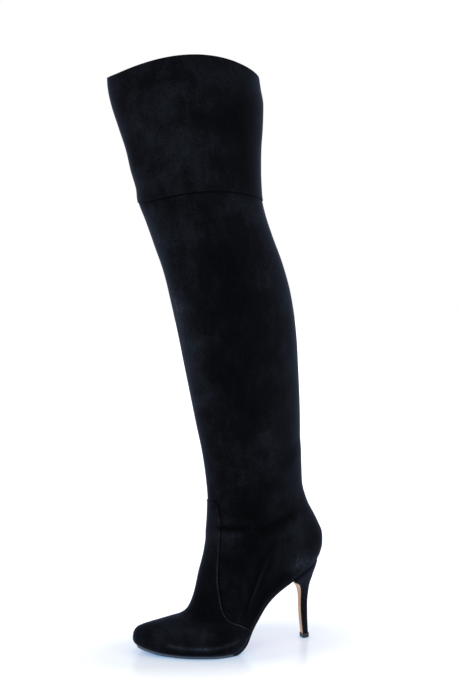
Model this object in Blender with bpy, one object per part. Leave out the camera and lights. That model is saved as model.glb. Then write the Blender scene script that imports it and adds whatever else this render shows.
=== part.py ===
"""A thigh high stiletto boot for the left foot, standing empty on its sole.

Metres, +Z up. The toe points to -X, the outer side of the foot is -Y and the inner side is +Y.
While it is modelled, X = 0 is at the heel, TIP_SETBACK ahead of the middle of its tip. At the end
every piece is shifted so that the origin lies under the middle of the whole boot, on the floor.

The upper and the thigh panel are cut from one surface, boot_surface(ring, angle). Its rings run from
the feather line, where the upper meets the sole, to the collar. On a ring the angle is 0 at the
front, 180 degrees at the back, and less than 180 on the outer side.
"""

from typing import NamedTuple

import bmesh
import bpy
import numpy as np
from mathutils import Vector

# Lengths of the foot
FOOT_LENGTH = 0.2245
BALL_WIDTH = 0.0820
HEEL_HEIGHT = 0.1000
HEEL_SETBACK = 0.0204
INSTEP_HEIGHT = 0.1650
COUNTER_HEIGHT = 0.1380

# Lengths of the leg
KNEE_HEIGHT = 0.5010
COLLAR_HEIGHT = 0.6350
ANKLE_DEPTH = 0.1120
CALF_DEPTH = 0.1360
CALF_WIDTH = 0.0930
THIGH_DEPTH = 0.1720
THIGH_WIDTH = 0.0930
LEG_LEAN = 0.0900
KNEE_ARCH = 0.0110
COLLAR_ARCH = 0.0205

# Walls, steps and clearances
UPPER_WALL = 0.0018
THIGH_WALL = 0.0016
VAMP_STEP = 0.0007
VAMP_EDGE = 0.0004
THIGH_STEP = 0.0009
SKIVE_DEPTH = 0.0010
SEAM_LAP = 0.0090
SKIVE_SLOPE = 0.0014
PANEL_EDGE = 0.0022
GAP = 0.0003

# Sole, insole and heel
SOLE_THICKNESS = 0.0030
WAIST_THICKNESS = 0.0022
BREAST_THICKNESS = 0.0012
WELT_MARGIN = 0.0010
INSOLE_THICKNESS = 0.0025
BREAST_REACH = 0.0250
TIP_DEPTH = 0.0094
TIP_SETBACK = 0.0012
TIP_WIDTH = 0.0102
NECK_WIDTH = 0.0102
LIFT_HEIGHT = 0.0050

TOE_X = HEEL_SETBACK - FOOT_LENGTH

# Colours, linear
SUEDE = (0.008, 0.009, 0.013)
LINING = (0.020, 0.018, 0.018)
LEATHER = (0.420, 0.260, 0.160)
RUBBER = (0.010, 0.010, 0.011)

HEEL_STEPS = 10
PANEL_RINGS = 10

# The tongue ends this far above the ankle's ring, in rings
TONGUE_END = 0.05

# The foot has half rings too, from this ring up, where the instep curves most
HALF_RINGS_FROM = 10

# Short steps that find a slope: in rings or radians, in rings up the leg, and in metres
SLOPE_STEP = 1e-3
CLIMB_STEP = 0.05
SEAT_STEP = 1e-4

# The sole thins to its waist between these places, in shares of FOOT_LENGTH from the toe
WAIST_START = 0.45
WAIST_END = 0.60

# The heel's sections: powers that round their backs, and the neck's width at the breast as a share
NECK_ROUND = 2.4
SEAT_ROUND = 6.0
NECK_FRONT = 0.92
NECK_WIDEST = 0.30

# Angles of a ring's columns, as shares of the way to the vamp's edge and from there to the back
VAMP_COLUMNS = (0.00, 0.10, 0.20, 0.31, 0.43, 0.55, 0.66, 0.76, 0.83, 0.88, 0.92, 0.96, 1.00)
QUARTER_COLUMNS = (0.00, 0.04, 0.08, 0.13, 0.20, 0.29, 0.39, 0.51, 0.63, 0.75, 0.87, 1.00)


class SeatRow(NamedTuple):
    """The line where upper and sole meet, seen from the side."""

    place: float  # share of FOOT_LENGTH from the toe
    rise: float  # share of HEEL_HEIGHT above the top of the flat forefoot


SEAT_LINE = (
    SeatRow(0.000, 0.080),
    SeatRow(0.054, 0.044),
    SeatRow(0.100, 0.016),
    SeatRow(0.150, 0.002),
    SeatRow(0.230, 0.000),
    SeatRow(0.447, 0.000),
    SeatRow(0.481, 0.013),
    SeatRow(0.526, 0.088),
    SeatRow(0.561, 0.232),
    SeatRow(0.598, 0.355),
    SeatRow(0.634, 0.470),
    SeatRow(0.669, 0.553),
    SeatRow(0.714, 0.632),
    SeatRow(0.772, 0.714),
    SeatRow(0.865, 0.835),
    SeatRow(0.985, 1.000),
    SeatRow(1.050, 1.090),
)


class OutlineRow(NamedTuple):
    """The foot's plan. Half widths are those of a ring divided by the sine of its angle."""

    along: float  # share of a ring's length, from its front
    half: float  # share of half the BALL_WIDTH
    centre: float  # share of BALL_WIDTH, to the inner side


OUTLINE = (
    OutlineRow(0.000, 1.000, 0.066),
    OutlineRow(0.060, 1.000, 0.058),
    OutlineRow(0.120, 1.060, 0.048),
    OutlineRow(0.200, 1.130, -0.012),
    OutlineRow(0.300, 1.125, -0.068),
    OutlineRow(0.360, 1.080, -0.098),
    OutlineRow(0.450, 0.940, -0.110),
    OutlineRow(0.550, 0.750, -0.076),
    OutlineRow(0.650, 0.700, -0.052),
    OutlineRow(0.750, 0.745, -0.028),
    OutlineRow(0.850, 0.890, -0.010),
    OutlineRow(0.930, 1.075, 0.000),
    OutlineRow(1.000, 1.260, 0.000),
)


class HeelRow(NamedTuple):
    """A ring of the heel block, from the seat down to the tip."""

    front: float  # share of BREAST_REACH ahead of X = 0
    front_rise: float  # share of HEEL_HEIGHT above the floor
    back: float  # share of HEEL_SETBACK behind X = 0
    back_rise: float  # share of HEEL_HEIGHT above the floor
    flare: float  # 1 is as wide as the seat, 0 is NECK_WIDTH


HEEL_ROWS = (
    HeelRow(1.000, 0.753, 0.860, 0.990, 1.000),
    HeelRow(0.760, 0.712, 0.800, 0.915, 0.830),
    HeelRow(0.545, 0.683, 0.690, 0.855, 0.610),
    HeelRow(0.376, 0.650, 0.570, 0.795, 0.390),
    HeelRow(0.256, 0.600, 0.470, 0.730, 0.200),
    HeelRow(0.204, 0.530, 0.325, 0.645, 0.070),
    HeelRow(0.194, 0.450, 0.235, 0.540, 0.015),
    HeelRow(0.192, 0.370, 0.175, 0.400, 0.000),
    HeelRow(0.136, 0.200, 0.185, 0.210, -0.005),
    HeelRow(0.068, 0.053, 0.225, 0.053, -0.010),
)


class FootRow(NamedTuple):
    """A ring of the foot, from the feather line up to the ankle."""

    front: float  # share of FOOT_LENGTH behind the toe
    front_rise: float  # share of INSTEP_HEIGHT above the floor
    back: float  # share of FOOT_LENGTH ahead of the back of the heel
    back_rise: float  # share of COUNTER_HEIGHT above the heel seat
    half: float  # share of half the BALL_WIDTH
    outline: float  # 1 has the foot's plan, 0 is an ellipse
    arch: float  # how far the ring follows the arch of the sole
    droop: float  # share of INSTEP_HEIGHT that the ring sinks beside the vamp
    seam: float  # angle of the vamp's edge, in degrees


FOOT_ROWS = (
    FootRow(0.0240, 0.0520, 0.0170, -0.004, 0.905, 1.00, 1.00, 0.000, 95.0),
    FootRow(0.0070, 0.0720, 0.0090, 0.030, 0.965, 1.00, 1.00, 0.004, 95.0),
    FootRow(0.0000, 0.0980, 0.0010, 0.080, 1.000, 1.00, 1.00, 0.020, 95.0),
    FootRow(0.0020, 0.1340, -0.0005, 0.130, 1.005, 0.98, 1.00, 0.042, 94.5),
    FootRow(0.0180, 0.1715, 0.0030, 0.192, 0.990, 0.94, 1.00, 0.060, 93.0),
    FootRow(0.0490, 0.1905, 0.0215, 0.261, 0.965, 0.87, 1.00, 0.072, 90.5),
    FootRow(0.0900, 0.2037, 0.0416, 0.326, 0.940, 0.78, 1.00, 0.079, 86.5),
    FootRow(0.1390, 0.2153, 0.0612, 0.383, 0.915, 0.68, 1.00, 0.084, 81.5),
    FootRow(0.1930, 0.2297, 0.0776, 0.431, 0.895, 0.57, 1.00, 0.087, 74.0),
    FootRow(0.2420, 0.2435, 0.0885, 0.474, 0.880, 0.46, 1.00, 0.089, 66.5),
    FootRow(0.2750, 0.2700, 0.0980, 0.518, 0.866, 0.36, 1.00, 0.094, 60.0),
    FootRow(0.2984, 0.3200, 0.1068, 0.565, 0.854, 0.27, 1.00, 0.101, 53.0),
    FootRow(0.3192, 0.4030, 0.1130, 0.623, 0.845, 0.18, 0.92, 0.104, 46.5),
    FootRow(0.3396, 0.5270, 0.1155, 0.703, 0.838, 0.09, 0.72, 0.094, 39.0),
    FootRow(0.3700, 0.6850, 0.1180, 0.790, 0.840, 0.02, 0.45, 0.070, 33.5),
    FootRow(0.3815, 0.8550, 0.1200, 0.891, 0.850, 0.00, 0.16, 0.036, 32.5),
)


class LegRow(NamedTuple):
    """A ring of the leg."""

    front_rise: float  # share of the way from the stretch's lower end to its upper end
    back_rise: float
    lean: float  # share of LEG_LEAN that the ring's middle lies ahead of the ankle
    depth: float  # share of the stretch's depth
    width: float  # share of the stretch's width
    seam: float  # angle of the line that carries the vamp's edge on upwards


# From the ankle to the knee seam, in shares of CALF_DEPTH and CALF_WIDTH
CALF_ROWS = (
    LegRow(0.000, 0.000, 0.000, 0.808, 0.720, 25.5),
    LegRow(0.085, 0.050, 0.014, 0.821, 0.775, 26.0),
    LegRow(0.175, 0.125, 0.043, 0.848, 0.850, 31.0),
    LegRow(0.270, 0.215, 0.088, 0.889, 0.920, 38.0),
    LegRow(0.370, 0.315, 0.135, 0.928, 0.970, 47.0),
    LegRow(0.470, 0.425, 0.184, 0.966, 0.995, 57.0),
    LegRow(0.570, 0.535, 0.242, 0.992, 1.000, 66.0),
    LegRow(0.670, 0.645, 0.316, 1.006, 0.992, 73.0),
    LegRow(0.770, 0.755, 0.413, 1.001, 0.980, 79.0),
    LegRow(0.860, 0.855, 0.532, 1.002, 0.975, 84.0),
    LegRow(0.940, 0.942, 0.634, 1.013, 0.985, 87.0),
    LegRow(1.000, 1.010, 0.705, 1.037, 1.000, 89.0),
)

# From the knee seam to the collar, in shares of THIGH_DEPTH and THIGH_WIDTH
THIGH_ROWS = (
    LegRow(0.120, 0.125, 0.726, 0.824, 1.010, 90.0),
    LegRow(0.260, 0.270, 0.762, 0.853, 1.010, 90.0),
    LegRow(0.430, 0.440, 0.791, 0.887, 1.005, 90.0),
    LegRow(0.600, 0.620, 0.824, 0.943, 0.998, 90.0),
    LegRow(0.770, 0.800, 0.863, 0.993, 0.990, 90.0),
    LegRow(0.900, 0.935, 0.902, 0.999, 0.985, 90.0),
    LegRow(1.000, 1.030, 0.920, 0.993, 0.980, 90.0),
)


class Ring(NamedTuple):
    """A ring's real sizes."""

    front_x: float
    front_z: float
    back_x: float
    back_z: float
    half: float
    outline: float
    arch: float
    droop: float
    crown: float
    seam: float


def foot_ring(row):
    """The real sizes of a ring of the foot."""
    return Ring(
        front_x=TOE_X + row.front * FOOT_LENGTH,
        front_z=row.front_rise * INSTEP_HEIGHT,
        back_x=HEEL_SETBACK - row.back * FOOT_LENGTH,
        back_z=HEEL_HEIGHT + row.back_rise * COUNTER_HEIGHT,
        half=row.half * BALL_WIDTH / 2,
        outline=row.outline,
        arch=row.arch,
        droop=row.droop * INSTEP_HEIGHT,
        crown=0.0,
        seam=np.radians(row.seam),
    )


# Middle of the ankle, half its depth ahead of the back of the foot's last ring
ANKLE_X = HEEL_SETBACK - FOOT_ROWS[-1].back * FOOT_LENGTH - ANKLE_DEPTH / 2


def leg_ring(row, bottom, top, depth, width, crown):
    """The real sizes of a ring of the leg, between a stretch's lower and upper ends."""
    middle = ANKLE_X - row.lean * LEG_LEAN
    (front_low, back_low), (front_high, back_high) = bottom, top
    return Ring(
        front_x=middle - row.depth * depth / 2,
        front_z=front_low + row.front_rise * (front_high - front_low),
        back_x=middle + row.depth * depth / 2,
        back_z=back_low + row.back_rise * (back_high - back_low),
        half=row.width * width / 2,
        outline=0.0,
        arch=0.0,
        droop=0.0,
        crown=crown,
        seam=np.radians(row.seam),
    )


def all_rings():
    """Every ring from the feather line to the collar."""
    ankle = (INSTEP_HEIGHT, HEEL_HEIGHT + COUNTER_HEIGHT)
    knee = (KNEE_HEIGHT, KNEE_HEIGHT)
    collar = (COLLAR_HEIGHT, COLLAR_HEIGHT)
    rings = [foot_ring(row) for row in FOOT_ROWS]
    for row in CALF_ROWS:
        crown = KNEE_ARCH * max(0.0, row.front_rise) ** 3
        rings.append(leg_ring(row, ankle, knee, CALF_DEPTH, CALF_WIDTH, crown))
    for row in THIGH_ROWS:
        share = row.front_rise / THIGH_ROWS[-1].front_rise
        crown = KNEE_ARCH + (COLLAR_ARCH - KNEE_ARCH) * share
        rings.append(leg_ring(row, knee, collar, THIGH_DEPTH, THIGH_WIDTH, crown))
    return rings


def smooth_table(places, values, at):
    """A smooth curve through a table that never swings past its rows."""
    places, values, at = (np.asarray(list_of, float) for list_of in (places, values, at))
    steps = np.diff(places)
    slopes = np.diff(values) / steps
    middle = (slopes[:-1] * steps[1:] + slopes[1:] * steps[:-1]) / (steps[:-1] + steps[1:])
    least = 3 * np.minimum(abs(slopes[:-1]), abs(slopes[1:]))
    middle = np.where(slopes[:-1] * slopes[1:] > 0, np.clip(middle, -least, least), 0.0)
    tangents = np.concatenate([slopes[:1], middle, slopes[-1:]])
    cell = np.clip(np.searchsorted(places, at, side="right") - 1, 0, len(steps) - 1)
    width = steps[cell]
    u = (at - places[cell]) / width
    low, high = values[cell], values[cell + 1]
    return (
        low * (1 + 2 * u) * (1 - u) ** 2
        + high * u**2 * (3 - 2 * u)
        + width * u * (1 - u) * (tangents[cell] * (1 - u) - tangents[cell + 1] * u)
    )


RINGS = np.array(all_rings())
LAST_RING = len(RINGS) - 1
ANKLE_RING = len(FOOT_ROWS)
KNEE_RING = len(FOOT_ROWS) + len(CALF_ROWS) - 1


def ring_at(ring):
    """The sizes of the surface at a ring number, which may lie between two rows."""
    columns = [smooth_table(np.arange(len(RINGS)), column, ring) for column in RINGS.T]
    return Ring(*columns)


def seat_height(x):
    """Height of the line where upper and sole meet, at a place along the foot."""
    place = (np.asarray(x) - TOE_X) / FOOT_LENGTH
    rise = smooth_table([row.place for row in SEAT_LINE], [row.rise for row in SEAT_LINE], place)
    top_of_sole = SOLE_THICKNESS + GAP
    return top_of_sole + rise * (HEEL_HEIGHT - top_of_sole)


def outline_at(along):
    """The foot's half width and its middle, in metres, at a share of its length."""
    shares = [row.along for row in OUTLINE]
    half = smooth_table(shares, [row.half for row in OUTLINE], along)
    centre = smooth_table(shares, [row.centre for row in OUTLINE], along) * BALL_WIDTH
    return half, centre


def beside_vamp(along):
    """Weight that is 0 at a ring's two ends and 1 at a third of the way from its front."""
    return 27 / 4 * along * (1 - along) ** 2


def boot_surface(ring, angle):
    """Points of the boot's outer surface, as an array whose last axis is x, y, z."""
    ring, angle = np.broadcast_arrays(np.asarray(ring, float), np.asarray(angle, float))
    size = ring_at(ring)
    along = (1 - np.cos(angle)) / 2
    x = size.front_x + (size.back_x - size.front_x) * along
    factor, centre = outline_at(along)
    factor = size.outline * factor + (1 - size.outline)
    y = size.outline * centre - np.sin(angle) * size.half * factor
    seat_front, seat_back = seat_height(size.front_x), seat_height(size.back_x)
    sag = seat_height(x) - (seat_front + (seat_back - seat_front) * along)
    z = size.front_z + (size.back_z - size.front_z) * along + size.arch * sag
    z = z + size.crown * np.sin(angle) ** 2 - size.droop * beside_vamp(along)
    return np.stack([x, y, z], axis=-1)


def outward(ring, angle):
    """Unit normals of boot_surface, pointing away from the foot."""
    up = boot_surface(ring + SLOPE_STEP, angle) - boot_surface(ring - SLOPE_STEP, angle)
    round_ = boot_surface(ring, angle + SLOPE_STEP) - boot_surface(ring, angle - SLOPE_STEP)
    normal = np.cross(round_, up)
    length = np.linalg.norm(normal, axis=-1, keepdims=True)
    return normal / np.maximum(length, 1e-12)


def seam_angles(ring):
    """The angles of the columns round a ring, from the front round the outer side to the inner side.

    The vamp's edge lies between two columns VAMP_EDGE apart on each side, where its step is.
    """
    size = ring_at(ring)
    seam = size.seam
    edge = VAMP_EDGE / size.half
    vamp = seam * np.array(VAMP_COLUMNS)
    quarter = seam + edge + (np.pi - seam - edge) * np.array(QUARTER_COLUMNS)
    outer = np.concatenate([vamp, quarter])
    return np.concatenate([outer, (2 * np.pi - outer[1:-1])[::-1]])


def ring_above(ring, length):
    """The ring number that lies a length further up the side of the leg."""
    side = boot_surface(np.array([ring, ring + CLIMB_STEP]), np.pi / 2)
    return ring + CLIMB_STEP * length / np.linalg.norm(side[1] - side[0])


def skin(levels):
    """Rows of points of a shell: each level is a ring number and a distance out from boot_surface."""
    rows = []
    for ring, distance in levels:
        angles = seam_angles(ring)
        distance = np.broadcast_to(distance, angles.shape)
        if ring == 0:
            row = [feather_point(angle, out) for angle, out in zip(angles, distance)]
        else:
            row = boot_surface(ring, angles) + distance[:, None] * outward(ring, angles)
        rows.append(row)
    rows = np.array(rows)
    rows[..., 2] = np.maximum(rows[..., 2], seat_height(rows[..., 0]))
    return rows


def new_object(name, bm, colour, roughness):
    """Makes an object of a finished bmesh, with a material of its own."""
    bmesh.ops.remove_doubles(bm, verts=bm.verts, dist=1e-6)
    open_edges = [edge for edge in bm.edges if edge.is_boundary]
    if open_edges:
        bmesh.ops.holes_fill(bm, edges=open_edges, sides=0)
    bmesh.ops.recalc_face_normals(bm, faces=bm.faces)
    mesh = bpy.data.meshes.new(name)
    bm.to_mesh(mesh)
    bm.free()
    mesh.shade_smooth()
    mesh.set_sharp_from_angle(angle=np.radians(40))
    material = bpy.data.materials.new(name)
    material.use_nodes = True
    shader = material.node_tree.nodes["Principled BSDF"]
    shader.inputs["Base Color"].default_value = (*colour, 1)
    shader.inputs["Roughness"].default_value = roughness
    mesh.materials.append(material)
    obj = bpy.data.objects.new(name, mesh)
    bpy.context.collection.objects.link(obj)
    return obj


def solid_of_rows(name, points, colour, roughness, ring_shaped=False):
    """A solid whose rows of points are closed loops, capped at both ends or joined end to end."""
    rows, columns = points.shape[:2]
    steps = rows if ring_shaped else rows - 1
    bm = bmesh.new()
    bmesh.ops.create_grid(bm, x_segments=columns, y_segments=steps, size=0.5)
    for vert in bm.verts:
        column = round((vert.co.x + 0.5) * columns) % columns
        row = round((vert.co.y + 0.5) * steps) % rows
        vert.co = Vector(points[row, column])
    return new_object(name, bm, colour, roughness)


def vamp_out():
    """How far each column of a ring stands out, where the vamp lies on the quarters."""
    vamp, quarter = len(VAMP_COLUMNS), len(QUARTER_COLUMNS)
    outer = np.array([VAMP_STEP] * vamp + [0.0] * quarter)
    return np.concatenate([outer, outer[1:-1][::-1]])


def build_upper():
    """Foot and leg in one hollow wall, with the vamp and its tongue as a step in its outside."""
    tongue_end = ANKLE_RING + TONGUE_END
    foot = [(ring, vamp_out()) for ring in np.arange(0, ANKLE_RING)]
    foot += [(ring + 0.5, vamp_out()) for ring in range(HALF_RINGS_FROM, ANKLE_RING - 1)]
    foot = sorted(foot, key=lambda level: level[0])
    foot += [(tongue_end, vamp_out()), (ring_above(tongue_end, VAMP_EDGE), 0.0)]
    leg = [(ring / 2, 0.0) for ring in range(2 * ANKLE_RING + 1, 2 * KNEE_RING + 1)]
    skived = [
        (ring_above(KNEE_RING, SKIVE_SLOPE), -SKIVE_DEPTH),
        (ring_above(KNEE_RING, SEAM_LAP), -SKIVE_DEPTH),
    ]
    top = skived[-1][0]
    inside = [(top, -UPPER_WALL)]
    inside += [(ring, -UPPER_WALL) for ring in range(KNEE_RING, -1, -1)]
    points = skin(foot + leg + skived + inside)
    return solid_of_rows("upper", points, SUEDE, 0.9, ring_shaped=True)


def build_thigh_panel():
    """The tube above the knee, lapping over the leg and cut to an arch at the collar."""
    inside = THIGH_STEP - THIGH_WALL
    rings = np.linspace(KNEE_RING, LAST_RING, PANEL_RINGS)
    outer = [(ring, THIGH_STEP) for ring in rings]
    inner = [(ring, inside) for ring in rings[::-1][:-1]]
    lip = [(ring_above(KNEE_RING, PANEL_EDGE), inside), (KNEE_RING, GAP)]
    points = skin(outer + inner + lip)
    return solid_of_rows("thigh_panel", points, SUEDE, 0.9, ring_shaped=True)


def feather_point(angle, margin):
    """A point beside the feather line, a margin outside it in plan, at the height of the seat."""
    x, y, _ = boot_surface(0, angle)
    along = boot_surface(0, angle + SLOPE_STEP) - boot_surface(0, angle - SLOPE_STEP)
    length = np.hypot(along[0], along[1])
    x = x - margin * -along[1] / length
    y = y - margin * along[0] / length
    return np.array([x, y, seat_height(x)])


def below_seat(point, depth):
    """A point moved down from the seat line, square to it."""
    rise = seat_height(point[0] + SEAT_STEP) - seat_height(point[0] - SEAT_STEP)
    slope = rise / (2 * SEAT_STEP)
    return point + depth * np.array([slope, 0, -1]) / np.hypot(slope, 1)


def strip_rows(angles, margin, top, bottoms):
    """Rows of a flat strip that follows the seat: top outer, top inner, bottom inner, bottom outer."""
    rows = []
    for angle, bottom in zip(angles, bottoms):
        outer = feather_point(angle, margin)
        inner = feather_point(2 * np.pi - angle, margin)
        corners = ((outer, top), (inner, top), (inner, bottom), (outer, bottom))
        rows.append([below_seat(point, depth) for point, depth in corners])
    return rows


def side_angles():
    """Angles of the feather line's columns on one side, from toe to heel."""
    return seam_angles(0)[: len(VAMP_COLUMNS) + len(QUARTER_COLUMNS)]


def build_insole():
    """The board on which the foot stands, inside the upper."""
    angles = side_angles()
    margin = -(UPPER_WALL + GAP)
    bottoms = [0.0] * len(angles)
    rows = strip_rows(angles, margin, -INSOLE_THICKNESS, bottoms)
    return solid_of_rows("insole", np.array(rows), LINING, 0.7)


def heel_width(row, along):
    """Half width of the heel block at a share of the way from its breast to its back."""
    front, back = -row.front * BREAST_REACH, row.back * HEEL_SETBACK
    seat_x = front + (back - front) * along
    ring = ring_at(0)
    share = np.clip((seat_x - ring.front_x) / (ring.back_x - ring.front_x), 0, 1)
    seat = abs(boot_surface(0, np.arccos(1 - 2 * share))[1])
    widening = NECK_FRONT + (1 - NECK_FRONT) * min(1.0, along / NECK_WIDEST)
    neck = NECK_WIDTH / 2 * np.sqrt(1 - along**NECK_ROUND) * widening
    taper = np.sqrt(max(0.0, 1 - along**SEAT_ROUND)) if row.flare < 1 else 1.0
    return (row.flare * seat * taper) + (1 - row.flare) * neck


def heel_ring(row):
    """A D-shaped ring of the heel: flat at the breast, round at the back."""
    front, back = -row.front * BREAST_REACH, row.back * HEEL_SETBACK
    steps = (1 - np.cos(np.linspace(0, np.pi, HEEL_STEPS))) / 2
    side = []
    for along in steps:
        x = front + (back - front) * along
        z = HEEL_HEIGHT * (row.front_rise + (row.back_rise - row.front_rise) * along)
        if row is HEEL_ROWS[0]:
            z = seat_height(x) - GAP
        side.append((x, heel_width(row, along), z))
    outer = [(x, -y, z) for x, y, z in side]
    inner = [(x, y, z) for x, y, z in side[-2::-1]]
    return outer + inner


def build_heel():
    """The covered heel block."""
    rows = np.array([heel_ring(row) for row in HEEL_ROWS])
    rows[-1, :, 2] = LIFT_HEIGHT + GAP
    return solid_of_rows("heel", rows, SUEDE, 0.9)


def build_outsole():
    """Leather sole, toe to heel, turning down the front of the heel as its breast cover."""
    angles = [angle for angle in side_angles() if boot_surface(0, angle)[0] < -BREAST_REACH]
    thick = []
    for angle in angles:
        place = (boot_surface(0, angle)[0] - TOE_X) / FOOT_LENGTH
        share = smooth_table([0.0, WAIST_START, WAIST_END, 1.0], [0.0, 0.0, 1.0, 1.0], place)
        thick.append(GAP + SOLE_THICKNESS + (WAIST_THICKNESS - SOLE_THICKNESS) * float(share))
    rows = strip_rows(angles, WELT_MARGIN, GAP, thick)
    fronts = np.array([heel_ring(row)[0] for row in HEEL_ROWS])
    fronts[-1, 2] = LIFT_HEIGHT + GAP
    for index in range(1, len(fronts)):
        low = fronts[min(index + 1, len(fronts) - 1)]
        run = low - fronts[index - 1]
        away = np.array([run[2], 0, -run[0]]) / np.hypot(run[0], run[2])
        half = abs(fronts[index, 1])
        near = fronts[index] * [1, 0, 1] + away * GAP
        far = near + away * BREAST_THICKNESS
        side = np.array([0, half, 0])
        rows.append([near - side, near + side, far + side, far - side])
    return solid_of_rows("outsole", np.array(rows), LEATHER, 0.5)


def build_top_lift():
    """The wearing piece under the heel."""
    rows = []
    for z in (LIFT_HEIGHT, 0.0):
        steps = (1 - np.cos(np.linspace(0, np.pi, HEEL_STEPS))) / 2
        side = [
            (TIP_SETBACK + TIP_DEPTH * (along - 0.5), TIP_WIDTH / 2 * np.sqrt(1 - along**NECK_ROUND))
            for along in steps
        ]
        outer = [(x, -y, z) for x, y in side]
        rows.append(outer + [(x, y, z) for x, y in side[-2::-1]])
    return solid_of_rows("top_lift", np.array(rows), RUBBER, 0.6)


def main():
    """Builds every piece and moves the origin under the middle of the boot."""
    for old in list(bpy.data.objects):
        bpy.data.objects.remove(old, do_unlink=True)
    pieces = [
        build_upper(),
        build_thigh_panel(),
        build_insole(),
        build_outsole(),
        build_heel(),
        build_top_lift(),
    ]
    corners = np.array([vert.co for piece in pieces for vert in piece.data.vertices])
    middle = (corners.min(axis=0) + corners.max(axis=0)) / 2
    for piece in pieces:
        piece.location = (-middle[0], -middle[1], -corners[:, 2].min())


main()
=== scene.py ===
"""Looks of a thigh high stiletto boot in black suede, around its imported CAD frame.

Metres, +Z up. The toe points to -X and the outer side of the foot is -Y. The boot's surface is first
worked out with X = 0 at the heel, just ahead of the middle of its tip, and then moved to the frame.
"""

import logging
from dataclasses import dataclass, field
from enum import Enum

import bmesh
import bpy
import numpy as np
from bmesh.types import BMesh
from bpy.types import Material, Node, NodeSocket, NodeTree, Object
from mathutils import Matrix, Vector

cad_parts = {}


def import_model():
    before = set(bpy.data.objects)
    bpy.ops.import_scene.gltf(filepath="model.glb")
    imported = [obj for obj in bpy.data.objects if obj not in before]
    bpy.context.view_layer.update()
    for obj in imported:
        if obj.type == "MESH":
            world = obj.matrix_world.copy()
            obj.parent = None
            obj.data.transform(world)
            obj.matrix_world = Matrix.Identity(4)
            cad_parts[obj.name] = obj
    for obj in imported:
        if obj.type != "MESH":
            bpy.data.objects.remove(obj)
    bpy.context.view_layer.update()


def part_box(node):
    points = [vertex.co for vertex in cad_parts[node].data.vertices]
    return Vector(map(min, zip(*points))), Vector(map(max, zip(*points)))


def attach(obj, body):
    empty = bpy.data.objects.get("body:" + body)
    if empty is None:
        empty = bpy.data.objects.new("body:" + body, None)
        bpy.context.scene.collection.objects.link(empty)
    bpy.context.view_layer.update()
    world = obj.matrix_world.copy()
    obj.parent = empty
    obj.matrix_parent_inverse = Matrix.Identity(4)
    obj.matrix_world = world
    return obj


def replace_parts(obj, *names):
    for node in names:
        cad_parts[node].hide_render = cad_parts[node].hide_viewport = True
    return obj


LOG = logging.getLogger("boot")
MM = 0.001
# steps over which slopes are measured: in radians or ring numbers, up the leg, and in metres
SLOPE_STEP = 1e-3
RISE_STEP = 0.02
SEAT_STEP = 1e-4


def smooth_table(places: list, values: list, at: np.ndarray) -> np.ndarray:
    """Reads a smooth curve through a table, one that never swings past its rows.

    Args:
        places: where each row of the table stands, rising.
        values: the value of each row.
        at: the places to read.

    Returns:
        The value at each place that was asked for.
    """
    places, values, at = (np.asarray(list_of, float) for list_of in (places, values, at))
    steps = np.diff(places)
    slopes = np.diff(values) / steps
    middle = (slopes[:-1] * steps[1:] + slopes[1:] * steps[:-1]) / (steps[:-1] + steps[1:])
    least = 3 * np.minimum(abs(slopes[:-1]), abs(slopes[1:]))
    middle = np.where(slopes[:-1] * slopes[1:] > 0, np.clip(middle, -least, least), 0.0)
    tangents = np.concatenate([slopes[:1], middle, slopes[-1:]])
    cell = np.clip(np.searchsorted(places, at, side="right") - 1, 0, len(steps) - 1)
    width = steps[cell]
    u = (at - places[cell]) / width
    low, high = values[cell], values[cell + 1]
    return (
        low * (1 + 2 * u) * (1 - u) ** 2
        + high * u**2 * (3 - 2 * u)
        + width * u * (1 - u) * (tangents[cell] * (1 - u) - tangents[cell + 1] * u)
    )


def soft_step(low: float, high: float, at: np.ndarray) -> np.ndarray:
    """Rises smoothly from 0 at low to 1 at high."""
    share = np.clip((at - low) / (high - low), 0, 1)
    return share * share * (3 - 2 * share)


def bell(at: np.ndarray, middle: float, width: float) -> np.ndarray:
    """A smooth hump that is 1 at its middle."""
    return np.exp(-(((at - middle) / width) ** 2))


def humps(table: tuple, at: np.ndarray) -> np.ndarray:
    """Adds up smooth humps, each row of the table with its height, its middle and its width."""
    return sum(height * bell(at, middle, width) for height, middle, width in table)


def srgb(code: str) -> tuple:
    """Turns an sRGB hex value into a linear colour with full opacity."""
    parts = [int(code[index : index + 2], 16) / 255 for index in (1, 3, 5)]
    linear = [part / 12.92 if part <= 0.04045 else ((part + 0.055) / 1.055) ** 2.4 for part in parts]
    return (*linear, 1.0)


def both_sides(outer: np.ndarray) -> np.ndarray:
    """Joins points on the outer side with their mirror images, back to where they start."""
    return np.concatenate([outer, (outer * [1, -1, 1])[-2::-1]])


@dataclass(frozen=True)
class Ring:
    """One ring of the boot's surface, with its real sizes in metres and its angle in radians."""

    front_x: np.ndarray
    front_z: np.ndarray
    back_x: np.ndarray
    back_z: np.ndarray
    half: np.ndarray
    outline: np.ndarray
    arch: np.ndarray
    droop: np.ndarray
    crown: np.ndarray
    seam: np.ndarray


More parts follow.
